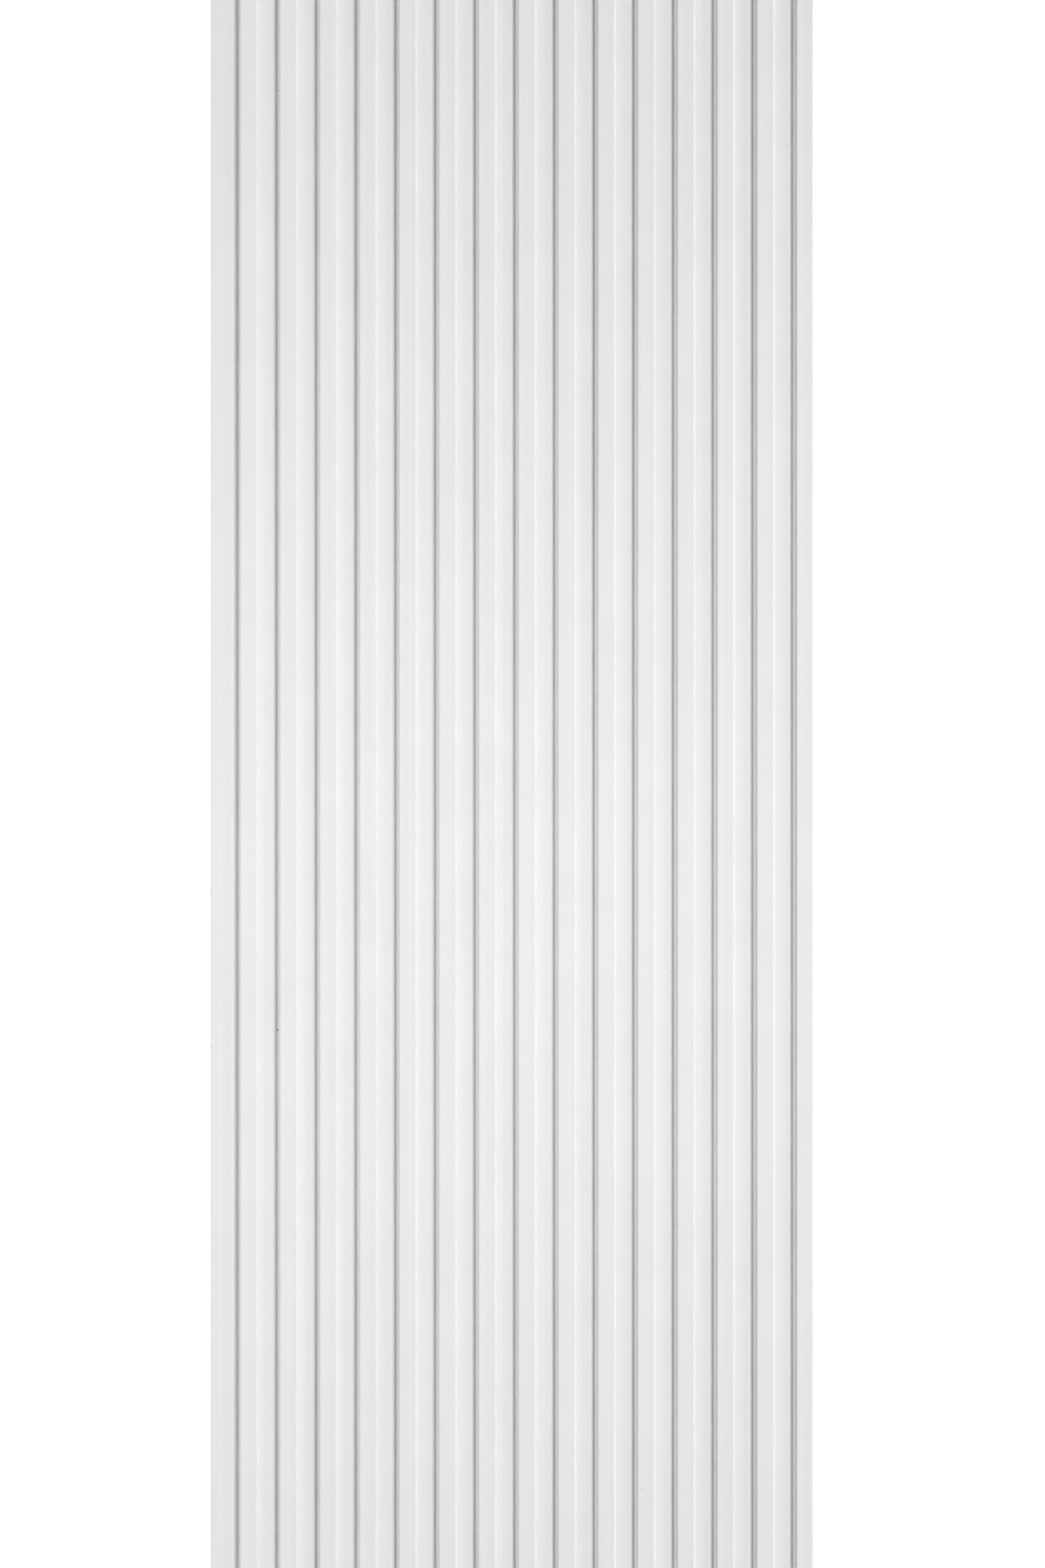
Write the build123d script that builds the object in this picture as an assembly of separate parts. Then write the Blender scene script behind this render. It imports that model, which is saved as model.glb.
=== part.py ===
from build123d import *
import os

# Decorative wall slat panel: one length of extruded moulding with upright slats on its face.
# Millimetres. The panel lies on its flat back: +X across the slats, +Y along them, +Z out of the face.
# The origin is the middle of the back.

# Overall sizes
LENGTH = 2600.0
THICKNESS = 12.0             # back to the upper faces of the slats
COVER_WIDTH = 250.0          # width that one panel adds to a wall, without its lap
SLAT_COUNT = 15

# One slat: an upper face, a small step down to a lower face, then a groove
UPPER_FACE = 6.9
STEP_DROP = 1.35             # upper face down to lower face
STEP_RUN = 0.4               # lean of the riser between them
STEP_LIP_RADIUS = 0.35
STEP_FOOT_RADIUS = 0.25
GROOVE_DEPTH = 5.0           # below the upper faces
GROOVE_FLOOR = 1.85          # between the two walls
SHOULDER_RADIUS = 1.6        # where a lower face rolls over into its groove
CRISP_EDGE_RADIUS = 0.25     # where the next upper face starts
FLOOR_CORNER_RADIUS = 0.3

# Lap joint: the lip at the right of one panel lies over the flange at the left of the next.
# The flange is level with the lower faces, so the laid panels show one even row of slats.
LAP_WIDTH = 2.8
LIP_CLEARANCE = 0.2          # between the lip and the flange below it
BUTT_GAP = 0.3               # between the flange and the body that it runs up to
OUTER_EDGE_RADIUS = 0.5
FIRST_GROOVE_FLOOR = 1.5     # the groove beside the flange is narrower than the rest
FIRST_SHOULDER_RADIUS = 2.5  # and the flange rolls over into it more softly

# Levels and places that follow from them
PITCH = COVER_WIDTH / SLAT_COUNT
WIDTH = COVER_WIDTH + LAP_WIDTH
LEFT = -WIDTH / 2
RIGHT = WIDTH / 2
LOWER_LEVEL = THICKNESS - STEP_DROP
FLOOR_LEVEL = THICKNESS - GROOVE_DEPTH
LIP_UNDERSIDE = LOWER_LEVEL + LIP_CLEARANCE
FIRST_SLAT = LEFT + LAP_WIDTH + PITCH - UPPER_FACE


def flange_corners():
    """Corners of the flange, from the back up to the bottom of the first groove."""
    wall = FIRST_SLAT - FIRST_GROOVE_FLOOR
    return [
        (LEFT, 0, 0),
        (LEFT, LOWER_LEVEL, OUTER_EDGE_RADIUS),
        (wall, LOWER_LEVEL, FIRST_SHOULDER_RADIUS),
        (wall, FLOOR_LEVEL, FLOOR_CORNER_RADIUS),
    ]


def slat_corners(start):
    """Corners of one slat, from the foot of its crisp edge to the bottom of the next groove."""
    step = start + UPPER_FACE
    wall = start + PITCH - GROOVE_FLOOR
    return [
        (start, FLOOR_LEVEL, FLOOR_CORNER_RADIUS),
        (start, THICKNESS, CRISP_EDGE_RADIUS),
        (step, THICKNESS, STEP_LIP_RADIUS),
        (step + STEP_RUN, LOWER_LEVEL, STEP_FOOT_RADIUS),
        (wall, LOWER_LEVEL, SHOULDER_RADIUS),
        (wall, FLOOR_LEVEL, FLOOR_CORNER_RADIUS),
    ]


def lip_corners(start):
    """Corners of the last slat, whose upper face runs out into the lip of the lap joint."""
    body_side = RIGHT - LAP_WIDTH - BUTT_GAP
    return [
        (start, FLOOR_LEVEL, FLOOR_CORNER_RADIUS),
        (start, THICKNESS, CRISP_EDGE_RADIUS),
        (RIGHT, THICKNESS, STEP_LIP_RADIUS),
        (RIGHT, LIP_UNDERSIDE, OUTER_EDGE_RADIUS),
        (body_side, LIP_UNDERSIDE, FLOOR_CORNER_RADIUS),
        (body_side, 0, 0),
    ]


def section_corners():
    """The whole section, clockwise from the flange's lower corner, as (x, z, corner radius)."""
    corners = flange_corners()
    for slat in range(SLAT_COUNT - 1):
        corners += slat_corners(FIRST_SLAT + slat * PITCH)
    corners += lip_corners(FIRST_SLAT + (SLAT_COUNT - 1) * PITCH)
    return corners


def slat_panel():
    """The extruded panel, cut square at both ends."""
    corners = section_corners()
    points = [(x, z) for x, z, radius in corners]
    radii = [radius for x, z, radius in corners]
    outline = FilletPolyline(*points, radius=radii, close=True)
    section = Plane.XZ * make_face(outline)
    return extrude(section, amount=LENGTH / 2, both=True)


os.makedirs("parts", exist_ok=True)
export_step(slat_panel(), "parts/slat_panel.step")
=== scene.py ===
import math

import bmesh
import bpy
from bpy.props import FloatProperty, FloatVectorProperty, IntProperty, PointerProperty
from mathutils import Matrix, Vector, noise
from mathutils.bvhtree import BVHTree


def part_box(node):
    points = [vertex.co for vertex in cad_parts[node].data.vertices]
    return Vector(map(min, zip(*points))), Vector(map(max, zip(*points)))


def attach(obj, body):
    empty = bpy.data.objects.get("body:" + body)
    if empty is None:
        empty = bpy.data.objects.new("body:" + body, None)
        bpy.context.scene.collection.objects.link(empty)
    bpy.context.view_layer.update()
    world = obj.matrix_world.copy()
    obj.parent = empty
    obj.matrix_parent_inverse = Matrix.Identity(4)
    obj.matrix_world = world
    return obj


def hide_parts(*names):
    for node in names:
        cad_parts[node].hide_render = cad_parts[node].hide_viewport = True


bl_info = {
    "name": "Wall Slat Panel",
    "version": (1, 0, 0),
    "blender": (4, 5, 0),
    "location": "View3D > Sidebar > Slat Panel",
    "description": "Builds one length of extruded slat wall panel, its satin paint and a plain studio",
    "category": "Object",
}

# One length of extruded wall slat panel, lying on its flat back. Metres.
# +X runs across the slats, +Y along them and +Z out of the face; the origin is the middle of the back.

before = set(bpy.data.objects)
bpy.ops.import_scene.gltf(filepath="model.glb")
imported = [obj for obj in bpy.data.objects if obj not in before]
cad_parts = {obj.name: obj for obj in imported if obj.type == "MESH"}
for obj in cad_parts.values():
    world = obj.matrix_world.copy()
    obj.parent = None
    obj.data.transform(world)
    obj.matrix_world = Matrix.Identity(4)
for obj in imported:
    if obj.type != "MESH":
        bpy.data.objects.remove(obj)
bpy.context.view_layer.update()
NODE = "slat_panel"
LOW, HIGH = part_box(NODE)
MM = 0.001


def metres(name, default, description):
    """A length property in metres."""
    return FloatProperty(
        name=name, description=description, default=default, min=0.0, unit="LENGTH", precision=5,
    )


def share(name, default, description):
    """A plain number from 0 to 1."""
    return FloatProperty(name=name, description=description, default=default, min=0.0, max=1.0)


def color(name, default, description):
    """A linear colour property."""
    return FloatVectorProperty(
        name=name, description=description, default=default, subtype="COLOR", min=0.0, max=1.0,
    )


class SlatPanelSize(bpy.types.PropertyGroup):
    """Sizes of the section; the length, width and thickness come from the frame"""

    cover_width: metres("Cover Width", 250.0 * MM, "Width that one panel adds to a wall, without its lap")
    slat_count: IntProperty(name="Slats", description="Slats across the panel", default=15, min=2)
    upper_face: metres("Upper Face", 6.9 * MM, "Width of a slat's upper face")
    step_drop: metres("Step Drop", 1.35 * MM, "Upper face down to the lower face")
    step_run: metres("Step Run", 0.4 * MM, "Lean of the riser between the two faces")
    step_lip_radius: metres("Step Lip", 0.35 * MM, "Rounding at the top of the riser")
    step_foot_radius: metres("Step Foot", 0.25 * MM, "Rounding at the foot of the riser")
    groove_depth: metres("Groove Depth", 5.0 * MM, "Upper faces down to the groove's floor")
    groove_floor: metres("Groove Floor", 1.85 * MM, "Width between the groove's two walls")
    shoulder_radius: metres("Shoulder", 1.6 * MM, "Where a lower face rolls over into its groove")
    crisp_edge_radius: metres("Crisp Edge", 0.25 * MM, "Rounding where an upper face starts")
    floor_corner_radius: metres("Floor Corner", 0.3 * MM, "Rounding at the foot of a wall")
    lip_clearance: metres("Lip Clearance", 0.2 * MM, "Between the lip and the flange below it")
    butt_gap: metres("Butt Gap", 0.3 * MM, "Between the flange and the body it runs up to")
    outer_edge_radius: metres("Outer Edge", 0.5 * MM, "Rounding of the panel's long edges")
    first_groove_floor: metres("First Groove Floor", 1.5 * MM, "Floor of the groove beside the flange")
    first_shoulder_radius: metres("First Shoulder", 2.5 * MM, "Where the flange rolls over into its groove")
    upper_fall: metres("Upper Fall", 0.10 * MM, "How far an upper face falls away from its crisp edge")
    upper_hollow: metres("Upper Hollow", 0.05 * MM, "How far an upper face sinks in its middle")
    lower_fall: metres("Lower Fall", 0.14 * MM, "How far a lower face falls away from its step")
    station: metres("Station", 25.0 * MM, "Distance between two rows of points along the slats")
    wander: metres("Wander", 0.05 * MM, "How far a slat strays from a straight line")


class SlatPanelFinish(bpy.types.PropertyGroup):
    """Colours of the painted face and the bare foam"""

    paint: color("Paint", (0.86, 0.86, 0.86), "Satin white paint on the face and the long edges")
    # The pit colour is painted shade: the pits and nicks are coloured towards this near black for the shade
    # inside them.
    pit: color("Pit", (0.06, 0.06, 0.06), "Bottom of a small pit that the paint missed")
    foam: color("Foam", (0.80, 0.80, 0.79), "Cut foam on the ends and the back")
    foam_cell: color("Foam Cell", (0.62, 0.62, 0.61), "Shade inside the foam's open cells")


class SlatPanelStudio(bpy.types.PropertyGroup):
    """Camera, lamps and floor"""

    camera_height: metres("Camera Height", 1.10, "Camera above the slats' upper faces")
    camera_side: metres("Camera Side", 4.5 * MM, "Camera beyond the panel's middle line, to the right")
    framed_width: metres("Framed Width", 438.1 * MM, "Width that the picture shows at the upper faces")
    fill: share("Fill", 0.03, "Share of the light that comes evenly from everywhere")
    backdrop: share("Backdrop", 0.78, "How bright the surroundings look beyond the floor")


# Marks in the face: name, slat, place beyond its crisp edge and along the slats, radius across, how many
# times longer than wide, depth, and how dark its colour is made, which in the pits and nicks is painted
# shade and in the smudge a faint darker tone. Lengths are in millimetres.
MARKS = (
    ("deep wall pit", 4, -1.9, 239.6, 0.45, 1.0, 0.25, 1.0),
    ("deep floor pit", 1, -1.5, -103.5, 0.36, 1.0, 0.22, 0.9),
    ("faint floor pit", 1, -1.2, 291.9, 0.40, 1.2, 0.10, 0.3),
    ("wall pit", 5, -1.9, -50.1, 0.38, 1.5, 0.15, 0.4),
    ("shoulder pit", 11, -2.75, -79.1, 0.34, 1.0, 0.10, 0.25),
    ("lower face pit", 14, -3.95, 267.7, 0.30, 1.6, 0.12, 0.4),
    ("upper face pit", 4, 3.4, -114.7, 0.30, 1.0, 0.08, 0.25),
    ("upper face smudge", 10, 1.85, -296.2, 0.95, 1.1, 0.02, 0.07),
    ("long edge nick", 0, -12.45, -45.6, 0.40, 5.0, 0.30, 0.25),
    ("short edge nick", 0, -12.45, -110.4, 0.40, 3.5, 0.22, 0.2),
)
MARK_CELLS = 8          # cells across a mark

FACET = 0.25 * MM       # length of one facet of a rounded corner
LEVEL = 0.99            # a face whose normal points up by more than this is level
UPPER_CUTS = (0.15, 0.3, 0.45, 0.6, 0.75, 0.9)  # lengthwise cuts, as shares of a face's width
LOWER_CUTS = (0.2, 0.4, 0.6, 0.8)
STRAY_LENGTH = 0.24     # metres along a slat over which it changes its way
STRAY_STEP = 0.45       # how much a slat's way differs from its neighbour's
SHARP_ANGLE = 40.0      # degrees between two faces that keep a sharp edge

WORN = 0.972            # tone of the paint's darker streaks
PATCHES_PER_METRE = 38.0
CELLS_PER_METRE = 2200.0

FLOOR_HALF_SIZE = 25.0
FLOOR_PAPER = 0.8       # how pale the floor is
FLOOR_GLOW = 0.72       # light that the floor shows by itself where it is seen
PICTURE = (1200, 1800)  # width and height of the photograph's frame
SENSOR_WIDTH = 36.0

# Lamps: name, degrees from straight above (right is positive), distance, place along the slats, width,
# length along the slats, degrees of beam, and share of the light on a level surface below
LAMPS = (
    ("near left strip", -50.0, 0.7, 0.0, 0.30, 2.4, 180.0, 0.32),
    ("high left strip", -15.0, 1.6, 0.0, 0.30, 3.0, 180.0, 0.53),
    ("middle box", 0.0, 0.9, -0.05, 0.22, 0.22, 55.0, 0.14),
    ("right strip", 45.0, 1.6, 0.0, 0.30, 3.0, 180.0, 0.235),
    ("low right strip", 60.0, 1.6, 0.0, 0.30, 3.0, 180.0, 0.21),
    ("lowest right strip", 78.0, 1.6, 0.0, 0.15, 3.0, 180.0, 0.065),
)


def slat_pitch(size):
    """From one crisp edge to the next."""
    return size.cover_width / size.slat_count


def first_slat(size):
    """Where the first slat's crisp edge stands."""
    return HIGH.x - size.upper_face - (size.slat_count - 1) * slat_pitch(size)


def section_corners(size):
    """The section's corners, clockwise from the flange's lower corner, as (x, z, rounding)."""
    lower = HIGH.z - size.step_drop
    floor = HIGH.z - size.groove_depth
    underside = lower + size.lip_clearance
    pitch = slat_pitch(size)
    body_side = LOW.x + size.cover_width - size.butt_gap
    first = first_slat(size)
    wall = first - size.first_groove_floor
    corners = [
        (LOW.x, LOW.z, 0.0),
        (LOW.x, lower, size.outer_edge_radius),
        (wall, lower, size.first_shoulder_radius),
        (wall, floor, size.floor_corner_radius),
    ]
    for slat in range(size.slat_count):
        start = first + slat * pitch
        corners += [(start, floor, size.floor_corner_radius), (start, HIGH.z, size.crisp_edge_radius)]
        if slat < size.slat_count - 1:
            step = start + size.upper_face
            wall = start + pitch - size.groove_floor
            corners += [
                (step, HIGH.z, size.step_lip_radius),
                (step + size.step_run, lower, size.step_foot_radius),
                (wall, lower, size.shoulder_radius),
                (wall, floor, size.floor_corner_radius),
            ]
    return corners + [
        (HIGH.x, HIGH.z, size.step_lip_radius),
        (HIGH.x, underside, size.outer_edge_radius),
        (body_side, underside, size.floor_corner_radius),
        (body_side, LOW.z, 0.0),
    ]


def extrude_section(bm, corners):
    """The plain prism of the section, before its corners are rounded."""
    outline = [bm.verts.new((x, LOW.y, z)) for x, z, rounding in corners]
    cap = bm.faces.new(outline)
    grown = bmesh.ops.extrude_face_region(bm, geom=[cap])["geom"]
    far = [part for part in grown if isinstance(part, bmesh.types.BMVert)]
    bmesh.ops.translate(bm, verts=far, vec=(0.0, HIGH.y - LOW.y, 0.0))
    bmesh.ops.recalc_face_normals(bm, faces=bm.faces)


def runs_along(edge):
    """True for an edge that runs along the slats."""
    a, b = (v.co for v in edge.verts)
    return abs(a.x - b.x) + abs(a.z - b.z) < 0.01 * abs(a.y - b.y)


def rounding_groups(corners, facet):
    """Corners that can be rounded in one go: {(reach along each face, facets): [(x, z), ...]}."""
    groups = {}
    for i, (x, z, rounding) in enumerate(corners):
        if rounding <= 0.0:
            continue
        before = Vector((corners[i - 1][0] - x, corners[i - 1][1] - z))
        after = Vector((corners[(i + 1) % len(corners)][0] - x, corners[(i + 1) % len(corners)][1] - z))
        turn = math.pi - before.angle(after)
        reach = round(rounding * math.tan(turn / 2), 7)
        facets = max(3, round(rounding * turn / facet))
        groups.setdefault((reach, facets), []).append((x, z))
    return groups


def round_corners(bm, corners):
    """Rolls each long edge to its own radius."""
    for (reach, facets), places in rounding_groups(corners, FACET).items():
        wanted = {(round(x, 6), round(z, 6)) for x, z in places}
        edges = [
            e for e in bm.edges
            if runs_along(e) and (round(e.verts[0].co.x, 6), round(e.verts[0].co.z, 6)) in wanted
        ]
        bmesh.ops.bevel(
            bm, geom=edges, offset=reach, offset_type="OFFSET", segments=facets, profile=0.5,
            affect="EDGES", material=-1,
        )


def lower_face(size):
    """Where a slat's lower face starts and where its shoulder does, beyond its crisp edge."""
    left = size.upper_face + size.step_run
    return left, slat_pitch(size) - size.groove_floor - size.shoulder_radius


def with_edges(faces):
    """Faces with all their edges and points, as the bmesh operators take them."""
    edges = dict.fromkeys(e for f in faces for e in f.edges)
    verts = dict.fromkeys(v for f in faces for v in f.verts)
    return [*faces, *edges, *verts]


def cut_faces(bm, size):
    """Lengthwise cuts in each slat's two faces, so that they can be given their slight fall."""
    left, right = lower_face(size)
    for slat in range(size.slat_count):
        start = first_slat(size) + slat * slat_pitch(size)
        cuts = [start + size.upper_face * part for part in UPPER_CUTS]
        if slat < size.slat_count - 1:
            cuts += [start + left + (right - left) * part for part in LOWER_CUTS]
        for x in cuts:
            faces = [
                f for f in bm.faces
                if f.normal.z > LEVEL and min(v.co.x for v in f.verts) < x < max(v.co.x for v in f.verts)
            ]
            plane = Vector((x, 0.0, 0.0))
            bmesh.ops.bisect_plane(bm, geom=with_edges(faces), plane_co=plane, plane_no=(1.0, 0.0, 0.0))


def clamp(value):
    return min(1.0, max(0.0, value))


def smooth_step(value, low, high):
    """0 up to low, 1 from high on, and a soft rise between them."""
    t = clamp((value - low) / (high - low))
    return t * t * (3.0 - 2.0 * t)


def fall(t):
    """A drop that starts at once, grows from 0 to 1 and ends level."""
    return 1.0 - (1.0 - t) ** 2


def sink(t):
    """A drop of 0 at both ends and 1 in the middle."""
    return 4.0 * t * (1.0 - t)


def relax_faces(bm, size):
    """Each face falls away from its left edge by a hair, and the upper faces sink, as the foam cools."""
    floor = HIGH.z - size.groove_depth
    full = HIGH.z - size.step_drop - size.shoulder_radius
    left, right = lower_face(size)
    for v in bm.verts:
        across = v.co.x - first_slat(size)
        slat = math.floor(across / slat_pitch(size))
        if not 0 <= slat < size.slat_count or v.co.z < floor:
            continue
        u = across - slat * slat_pitch(size)
        upper = clamp(u / size.upper_face)
        lower = clamp((u - left) / (right - left))
        drop = size.upper_fall * fall(upper) + size.upper_hollow * sink(upper) + size.lower_fall * fall(lower)
        v.co.z -= drop * smooth_step(v.co.z, floor, full)


def cut_stations(bm, station):
    """Rows of points across the panel, so that it can stray a little along its length."""
    edges = [e for e in bm.edges if runs_along(e)]
    cuts = round((HIGH.y - LOW.y) / station) - 1
    bmesh.ops.subdivide_edges(bm, edges=edges, cuts=cuts, use_grid_fill=True)


def touches(face, center, box):
    """True where a face reaches into the box around a point."""
    for axis in (1, 0, 2):
        along = [v.co[axis] for v in face.verts]
        if min(along) >= center[axis] + box[axis] or max(along) <= center[axis] - box[axis]:
            return False
    return True


def finer(bm, center, box):
    """Cuts the faces around a point into small cells, and returns those cells."""
    cells = [f for f in bm.faces if touches(f, center, box)]
    for axis in range(3):
        across = Vector([float(i == axis) for i in range(3)])
        for cut in range(MARK_CELLS + 1):
            at = center + across * box[axis] * (2.0 * cut / MARK_CELLS - 1.0)
            split = bmesh.ops.bisect_plane(bm, geom=with_edges(cells), plane_co=at, plane_no=across)
            faces = [part for part in split["geom"] if isinstance(part, bmesh.types.BMFace)]
            cells = [f for f in faces if touches(f, center, box)]
    return cells


def mark_face(bm, size):
    """Dents the face where the photograph shows a pit, a nick or a smudge, and notes how dark each is."""
    dark = bm.verts.layers.float.new("pit")
    surface = BVHTree.FromBMesh(bm)
    for name, slat, beyond, along, radius, stretch, depth, shade_share in MARKS:
        x = first_slat(size) + slat * slat_pitch(size) + beyond * MM
        center = surface.ray_cast(Vector((x, along * MM, 1.0)), Vector((0.0, 0.0, -1.0)))[0]
        box = Vector((radius, radius * stretch, radius)) * MM
        cells = finer(bm, center, box)
        bm.normal_update()
        for v in {v for f in cells for v in f.verts}:
            away = v.co - center
            fade = 1.0 - sum((away[i] / box[i]) ** 2 for i in range(3))
            if fade > 0.0:
                v.co -= v.normal * depth * MM * fade
                # Painted shade: a pit or nick is coloured darker towards its middle.
                v[dark] = max(v[dark], shade_share * min(1.0, 2.0 * fade))


def stray(bm, size):
    """Lets each slat wander sideways by a hair along its length, as a long extrusion does."""
    for v in bm.verts:
        slat = math.floor((v.co.x - first_slat(size) + size.groove_floor / 2) / slat_pitch(size))
        if v.co.z < HIGH.z - size.groove_depth - MM or not 0 <= slat < size.slat_count - 1:
            continue
        v.co.x += size.wander * noise.noise(Vector((v.co.y / STRAY_LENGTH, slat * STRAY_STEP, 0.5)))


def shade(mesh):
    """Smooth rounded corners between flat faces and square cut ends."""
    mesh.shade_smooth()
    mesh.set_sharp_from_angle(angle=math.radians(SHARP_ANGLE))


class Nodes:
    """A material's or a group's node tree, with short ways to add to it."""

    def __init__(self, tree):
        self.tree = tree
        tree.nodes.clear()

    def add(self, kind, **settings):
        node = self.tree.nodes.new(kind)
        for name, value in settings.items():
            setattr(node, name, value)
        return node

    def feed(self, socket, source):
        """Links a socket to its source, or sets it where the source is a plain value."""
        if isinstance(source, bpy.types.NodeSocket):
            self.tree.links.new(source, socket)
        else:
            socket.default_value = source

    def math(self, operation, *sources):
        node = self.add("ShaderNodeMath", operation=operation)
        for socket, source in zip(node.inputs, sources):
            self.feed(socket, source)
        return node.outputs[0]

    def range(self, value, low, high, to_low, to_high):
        node = self.add("ShaderNodeMapRange")
        for socket, source in zip(node.inputs, (value, low, high, to_low, to_high)):
            self.feed(socket, source)
        return node.outputs[0]

    def mix(self, factor, a, b):
        node = self.add("ShaderNodeMix", data_type="RGBA")
        self.feed(node.inputs[0], factor)
        self.feed(node.inputs[6], a)
        self.feed(node.inputs[7], b)
        return node.outputs[2]

    def stretch(self, vector, scale):
        node = self.add("ShaderNodeMapping")
        self.feed(node.inputs["Vector"], vector)
        node.inputs["Scale"].default_value = scale
        return node.outputs[0]

    def noise(self, vector, scale, detail=2.0, roughness=0.5):
        node = self.add("ShaderNodeTexNoise")
        self.feed(node.inputs["Vector"], vector)
        self.feed(node.inputs["Scale"], scale)
        self.feed(node.inputs["Detail"], detail)
        self.feed(node.inputs["Roughness"], roughness)
        return node.outputs[0]

    def group(self, group, **sources):
        node = self.add("ShaderNodeGroup", node_tree=group)
        for name, source in sources.items():
            self.feed(node.inputs[name.replace("_", " ")], source)
        return node.outputs

    def bump(self, height, distance, normal=None):
        node = self.add("ShaderNodeBump")
        node.inputs["Distance"].default_value = distance
        self.feed(node.inputs["Height"], height)
        if normal is not None:
            self.feed(node.inputs["Normal"], normal)
        return node.outputs[0]

    def finish(self, kind, shader):
        """Ends the tree with its output node."""
        self.feed(self.add(kind).inputs["Surface"], shader.outputs[0])


def node_group(name, inputs, outputs):
    """An empty shader node group with named sockets: (its Nodes, its inputs, its output node)."""
    tree = bpy.data.node_groups.new(name, "ShaderNodeTree")
    for socket, kind, default in inputs:
        made = tree.interface.new_socket(name=socket, in_out="INPUT", socket_type=kind)
        if default is not None:
            made.default_value = default
    for socket, kind in outputs:
        tree.interface.new_socket(name=socket, in_out="OUTPUT", socket_type=kind)
    nodes = Nodes(tree)
    return tree, nodes, nodes.add("NodeGroupInput").outputs, nodes.add("NodeGroupOutput").inputs


def extrusion_streaks():
    """Fine lines that the die draws along the slats: a height and a soft tone, both about 0.5."""
    tree, nodes, given, out = node_group(
        "Extrusion Streaks",
        [("Vector", "NodeSocketVector", None), ("Lines per Metre", "NodeSocketFloat", 1400.0)],
        [("Height", "NodeSocketFloat"), ("Tone", "NodeSocketFloat")],
    )
    along = nodes.stretch(given["Vector"], (1.0, 0.004, 1.0))
    fine = nodes.noise(along, given["Lines per Metre"], detail=3.0, roughness=0.6)
    broad = nodes.noise(along, nodes.math("MULTIPLY", given["Lines per Metre"], 0.25))
    nodes.feed(out["Height"], fine)
    nodes.feed(out["Tone"], broad)
    return tree


def fine_grain():
    """The slight tooth of a sprayed or rolled coat, and broad soft patches, both about 0.5."""
    tree, nodes, given, out = node_group(
        "Fine Grain",
        [("Vector", "NodeSocketVector", None), ("Grains per Metre", "NodeSocketFloat", 900.0)],
        [("Height", "NodeSocketFloat"), ("Patches", "NodeSocketFloat")],
    )
    grains = nodes.noise(given["Vector"], given["Grains per Metre"], roughness=0.55)
    patches = nodes.noise(given["Vector"], PATCHES_PER_METRE, detail=3.0)
    nodes.feed(out["Height"], grains)
    nodes.feed(out["Patches"], patches)
    return tree


def opaque(rgb):
    return (*rgb, 1.0)


def new_material(name):
    """A material with an empty node tree: (the material, its Nodes)."""
    material = bpy.data.materials.new(name)
    material.use_nodes = True
    return material, Nodes(material.node_tree)


def finish_shader(nodes, base, roughness, specular, normal):
    """Ends a material with its one shader."""
    shader = nodes.add("ShaderNodeBsdfPrincipled")
    nodes.feed(shader.inputs["Base Color"], base)
    nodes.feed(shader.inputs["Roughness"], roughness)
    nodes.feed(shader.inputs["Specular IOR Level"], specular)
    nodes.feed(shader.inputs["Normal"], normal)
    nodes.finish("ShaderNodeOutputMaterial", shader)


def painted_face(finish, streaks, grain):
    """Satin white paint, with faint lines along the slats and painted shade in a pit here and there."""
    material, nodes = new_material("satin white paint")
    place = nodes.add("ShaderNodeTexCoord").outputs["Object"]
    lines = nodes.group(streaks, Vector=place)
    tooth = nodes.group(grain, Vector=place)
    pit = nodes.add("ShaderNodeAttribute", attribute_name="pit").outputs["Fac"]
    worn = opaque(WORN * channel for channel in finish.paint)
    streaked = nodes.math("MULTIPLY", lines["Tone"], 0.6)
    patched = nodes.math("MULTIPLY", tooth["Patches"], 0.4)
    tone = nodes.math("ADD", streaked, patched)
    face = nodes.mix(nodes.range(tone, 0.40, 0.60, 0.0, 1.0), worn, opaque(finish.paint))
    # Painted shade: the pits and nicks are coloured towards near black; the smudge gets a faint darker tone.
    base = nodes.mix(pit, face, opaque(finish.pit))
    roughness = nodes.range(tooth["Height"], 0.3, 0.7, 0.50, 0.60)
    normal = nodes.bump(lines["Height"], 0.012 * MM)
    normal = nodes.bump(tooth["Height"], 0.010 * MM, normal)
    finish_shader(nodes, base, roughness, 0.35, normal)
    return material


def cut_foam(finish, streaks, grain):
    """Dense foam where a saw or the die has left it bare, with its small open cells and painted shade inside
    them.
    """
    material, nodes = new_material("cut foam")
    place = nodes.add("ShaderNodeTexCoord").outputs["Object"]
    lines = nodes.group(streaks, Vector=place, Lines_per_Metre=700.0)
    tooth = nodes.group(grain, Vector=place, Grains_per_Metre=2600.0)
    cells = nodes.add("ShaderNodeTexVoronoi", feature="DISTANCE_TO_EDGE")
    nodes.feed(cells.inputs["Vector"], place)
    nodes.feed(cells.inputs["Scale"], CELLS_PER_METRE)
    # Painted shade: each open cell is coloured darker towards its middle.
    wall = nodes.range(cells.outputs["Distance"], 0.02, 0.30, 1.0, 0.0)
    hollow = nodes.math("MULTIPLY", nodes.math("SUBTRACT", 1.0, wall), 0.6)
    shaded = nodes.mix(hollow, opaque(finish.foam), opaque(finish.foam_cell))
    patches = nodes.range(tooth["Patches"], 0.35, 0.65, 0.0, 0.25)
    base = nodes.mix(patches, shaded, opaque(finish.foam_cell))
    roughness = nodes.range(lines["Tone"], 0.3, 0.7, 0.80, 0.92)
    normal = nodes.bump(wall, 0.08 * MM)
    normal = nodes.bump(tooth["Height"], 0.03 * MM, normal)
    finish_shader(nodes, base, roughness, 0.2, normal)
    return material


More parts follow.
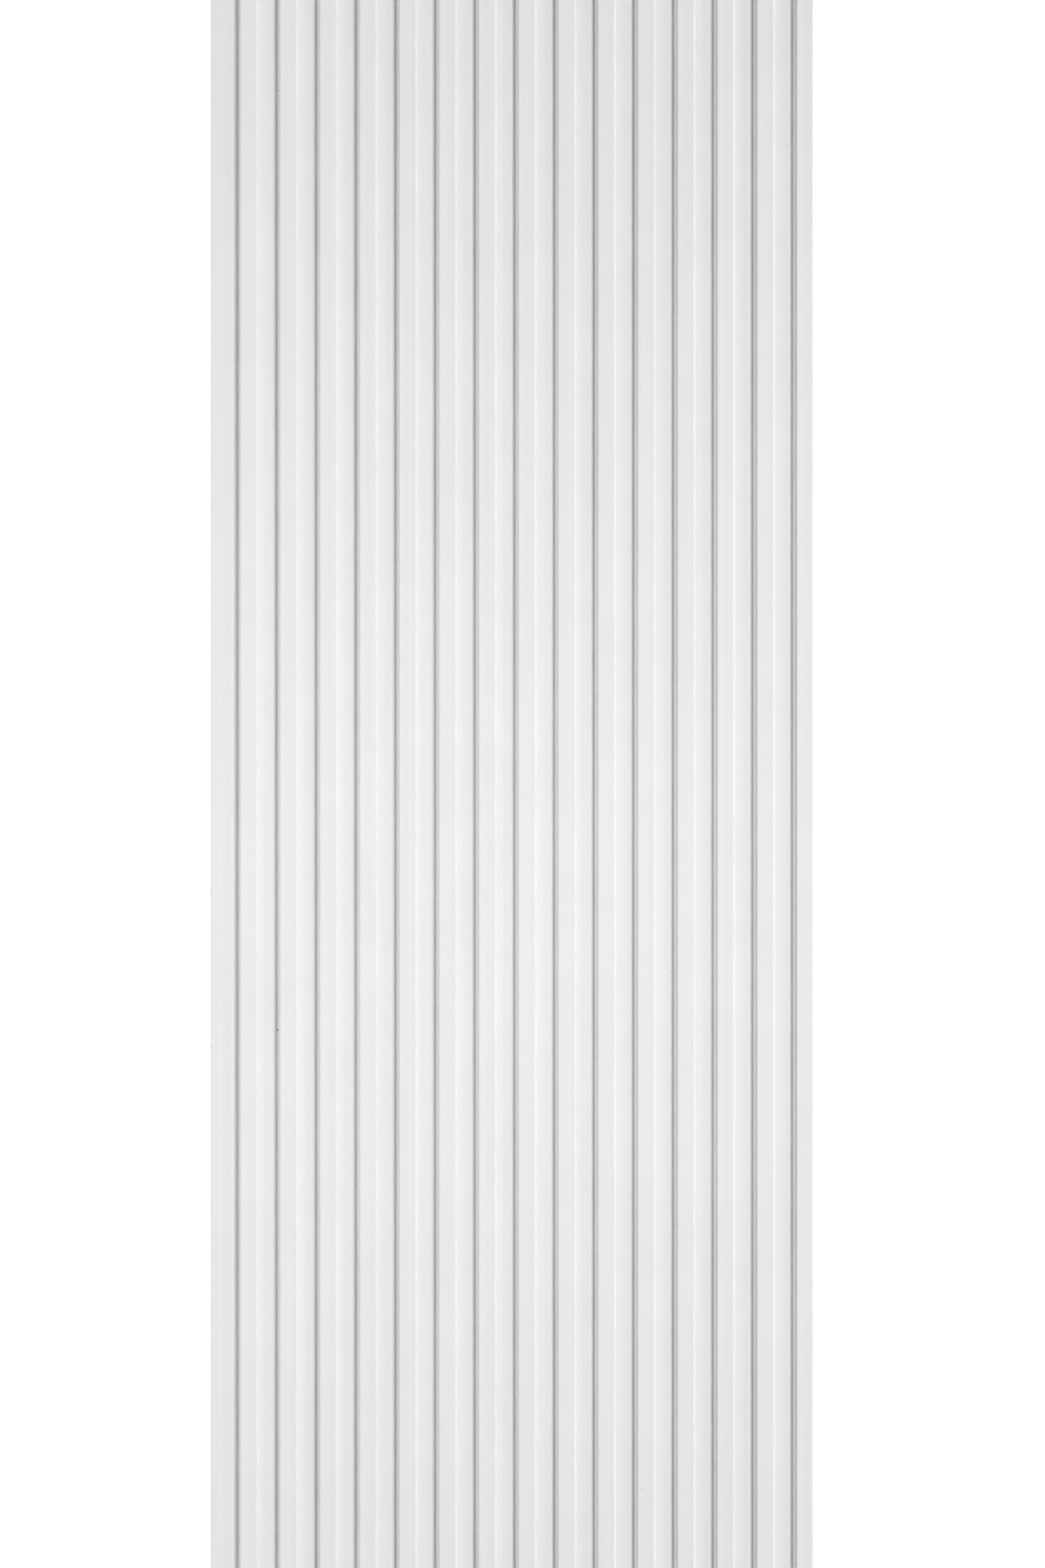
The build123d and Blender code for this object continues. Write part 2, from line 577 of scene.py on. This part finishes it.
def panel_mesh(size):
    """The whole panel as one closed mesh; faces of material 1 are cut foam."""
    corners = section_corners(size)
    bm = bmesh.new()
    extrude_section(bm, corners)
    round_corners(bm, corners)
    cut_faces(bm, size)
    relax_faces(bm, size)
    cut_stations(bm, size.station)
    mark_face(bm, size)
    stray(bm, size)
    for face in bm.faces:
        bare = abs(face.normal.y) > 0.9 or (face.normal.z < -0.9 and face.calc_center_median().z < MM)
        face.material_index = 1 if bare else 0
    mesh = bpy.data.meshes.new("panel")
    bm.to_mesh(mesh)
    bm.free()
    shade(mesh)
    return mesh


class SLATPANEL_OT_build_panel(bpy.types.Operator):
    """Build the slat panel and its finish"""

    bl_idname = "slat_panel.build_panel"
    bl_label = "Build Panel"

    def execute(self, context):
        mesh = panel_mesh(context.scene.slat_panel_size)
        finish = context.scene.slat_panel_finish
        streaks, grain = extrusion_streaks(), fine_grain()
        mesh.materials.append(painted_face(finish, streaks, grain))
        mesh.materials.append(cut_foam(finish, streaks, grain))
        panel = bpy.data.objects.new("panel", mesh)
        context.scene.collection.objects.link(panel)
        panel.modifiers.new("flat faces", "WEIGHTED_NORMAL").keep_sharp = True
        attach(panel, "root")
        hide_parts(NODE)
        return {"FINISHED"}


def lamp(name, angle, distance, along, width, length, beam, level):
    """A soft box that hangs over the panel's middle line and faces it."""
    light = bpy.data.lights.new(name, "AREA")
    light.shape = "RECTANGLE"
    light.size = width
    light.size_y = length
    light.spread = math.radians(beam)
    turn = math.radians(angle)
    half = light.spread / 2
    # The same energy is brighter by this much in the middle of a narrow beam.
    gain = math.tan(half) / (math.tan(half) - half) if beam < 180.0 else 1.0
    light.energy = level / gain * math.pi ** 2 * distance ** 2 / math.cos(turn)
    lamp_object = bpy.data.objects.new(name, light)
    lamp_object.location = (distance * math.sin(turn), along, HIGH.z + distance * math.cos(turn))
    lamp_object.rotation_euler = (0.0, turn, 0.0)
    lamp_object.visible_camera = False
    bpy.context.scene.collection.objects.link(lamp_object)


def seen_directly(nodes):
    """1 where a ray comes from the camera, a reflection or through glass."""
    path = nodes.add("ShaderNodeLightPath").outputs
    mirrored = nodes.math("MAXIMUM", path["Is Glossy Ray"], path["Is Transmission Ray"])
    return nodes.math("MAXIMUM", path["Is Camera Ray"], mirrored)


def studio_world(fill, backdrop):
    """As pale as the far floor where it is seen, and an even soft light everywhere else."""
    world = bpy.data.worlds.new("studio")
    world.use_nodes = True
    nodes = Nodes(world.node_tree)
    background = nodes.add("ShaderNodeBackground")
    nodes.feed(background.inputs["Color"], opaque((1.0, 1.0, 1.0)))
    nodes.feed(background.inputs["Strength"], nodes.range(seen_directly(nodes), 0.0, 1.0, fill, backdrop))
    nodes.finish("ShaderNodeOutputWorld", background)
    bpy.context.scene.world = world


def studio_floor():
    """A pale floor that looks white where the light falls freely, and keeps the panel's shadow."""
    bm = bmesh.new()
    bmesh.ops.create_grid(bm, x_segments=1, y_segments=1, size=FLOOR_HALF_SIZE)
    mesh = bpy.data.meshes.new("studio_floor")
    bm.to_mesh(mesh)
    bm.free()
    material, nodes = new_material("studio floor")
    paper = nodes.add("ShaderNodeBsdfDiffuse")
    nodes.feed(paper.inputs["Color"], opaque([FLOOR_PAPER] * 3))
    glow = nodes.add("ShaderNodeEmission")
    nodes.feed(glow.inputs["Strength"], nodes.math("MULTIPLY", seen_directly(nodes), FLOOR_GLOW))
    both = nodes.add("ShaderNodeAddShader")
    nodes.feed(both.inputs[0], paper.outputs[0])
    nodes.feed(both.inputs[1], glow.outputs[0])
    nodes.finish("ShaderNodeOutputMaterial", both)
    mesh.materials.append(material)
    floor = bpy.data.objects.new("studio_floor", mesh)
    bpy.context.scene.collection.objects.link(floor)


def studio_camera(studio):
    """Straight above the panel, with +Y up; the long side of the picture takes the sensor's width."""
    long_side = max(PICTURE) / min(PICTURE)
    camera = bpy.data.cameras.new("camera")
    camera.sensor_fit = "AUTO"
    camera.sensor_width = SENSOR_WIDTH
    camera.lens = SENSOR_WIDTH * studio.camera_height / (studio.framed_width * long_side)
    view = bpy.data.objects.new("camera", camera)
    view.location = (studio.camera_side, 0.0, HIGH.z + studio.camera_height)
    bpy.context.scene.collection.objects.link(view)
    bpy.context.scene.camera = view


class SLATPANEL_OT_build_stage(bpy.types.Operator):
    """Set up the floor, the lamps and the camera"""

    bl_idname = "slat_panel.build_stage"
    bl_label = "Build Stage"

    def execute(self, context):
        studio = context.scene.slat_panel_studio
        studio_floor()
        studio_world(studio.fill, studio.backdrop)
        for settings in LAMPS:
            lamp(*settings)
        studio_camera(studio)
        context.scene.view_settings.view_transform = "Standard"
        return {"FINISHED"}


class SLATPANEL_PT_sidebar(bpy.types.Panel):
    """Sizes, colours and studio of the slat panel"""

    bl_idname = "SLATPANEL_PT_sidebar"
    bl_label = "Slat Panel"
    bl_space_type = "VIEW_3D"
    bl_region_type = "UI"
    bl_category = "Slat Panel"

    def draw(self, context):
        for group in ("slat_panel_size", "slat_panel_finish", "slat_panel_studio"):
            settings = getattr(context.scene, group)
            column = self.layout.column(align=True)
            for name in settings.__annotations__:
                column.prop(settings, name)
        self.layout.operator("slat_panel.build_panel")
        self.layout.operator("slat_panel.build_stage")


CLASSES = (
    SlatPanelSize, SlatPanelFinish, SlatPanelStudio,
    SLATPANEL_OT_build_panel, SLATPANEL_OT_build_stage, SLATPANEL_PT_sidebar,
)


def register():
    for cls in CLASSES:
        bpy.utils.register_class(cls)
    bpy.types.Scene.slat_panel_size = PointerProperty(type=SlatPanelSize)
    bpy.types.Scene.slat_panel_finish = PointerProperty(type=SlatPanelFinish)
    bpy.types.Scene.slat_panel_studio = PointerProperty(type=SlatPanelStudio)


def unregister():
    del bpy.types.Scene.slat_panel_studio
    del bpy.types.Scene.slat_panel_finish
    del bpy.types.Scene.slat_panel_size
    for cls in reversed(CLASSES):
        bpy.utils.unregister_class(cls)


def main():
    register()
    bpy.ops.slat_panel.build_panel()
    bpy.ops.slat_panel.build_stage()


if __name__ == "__main__":
    main()
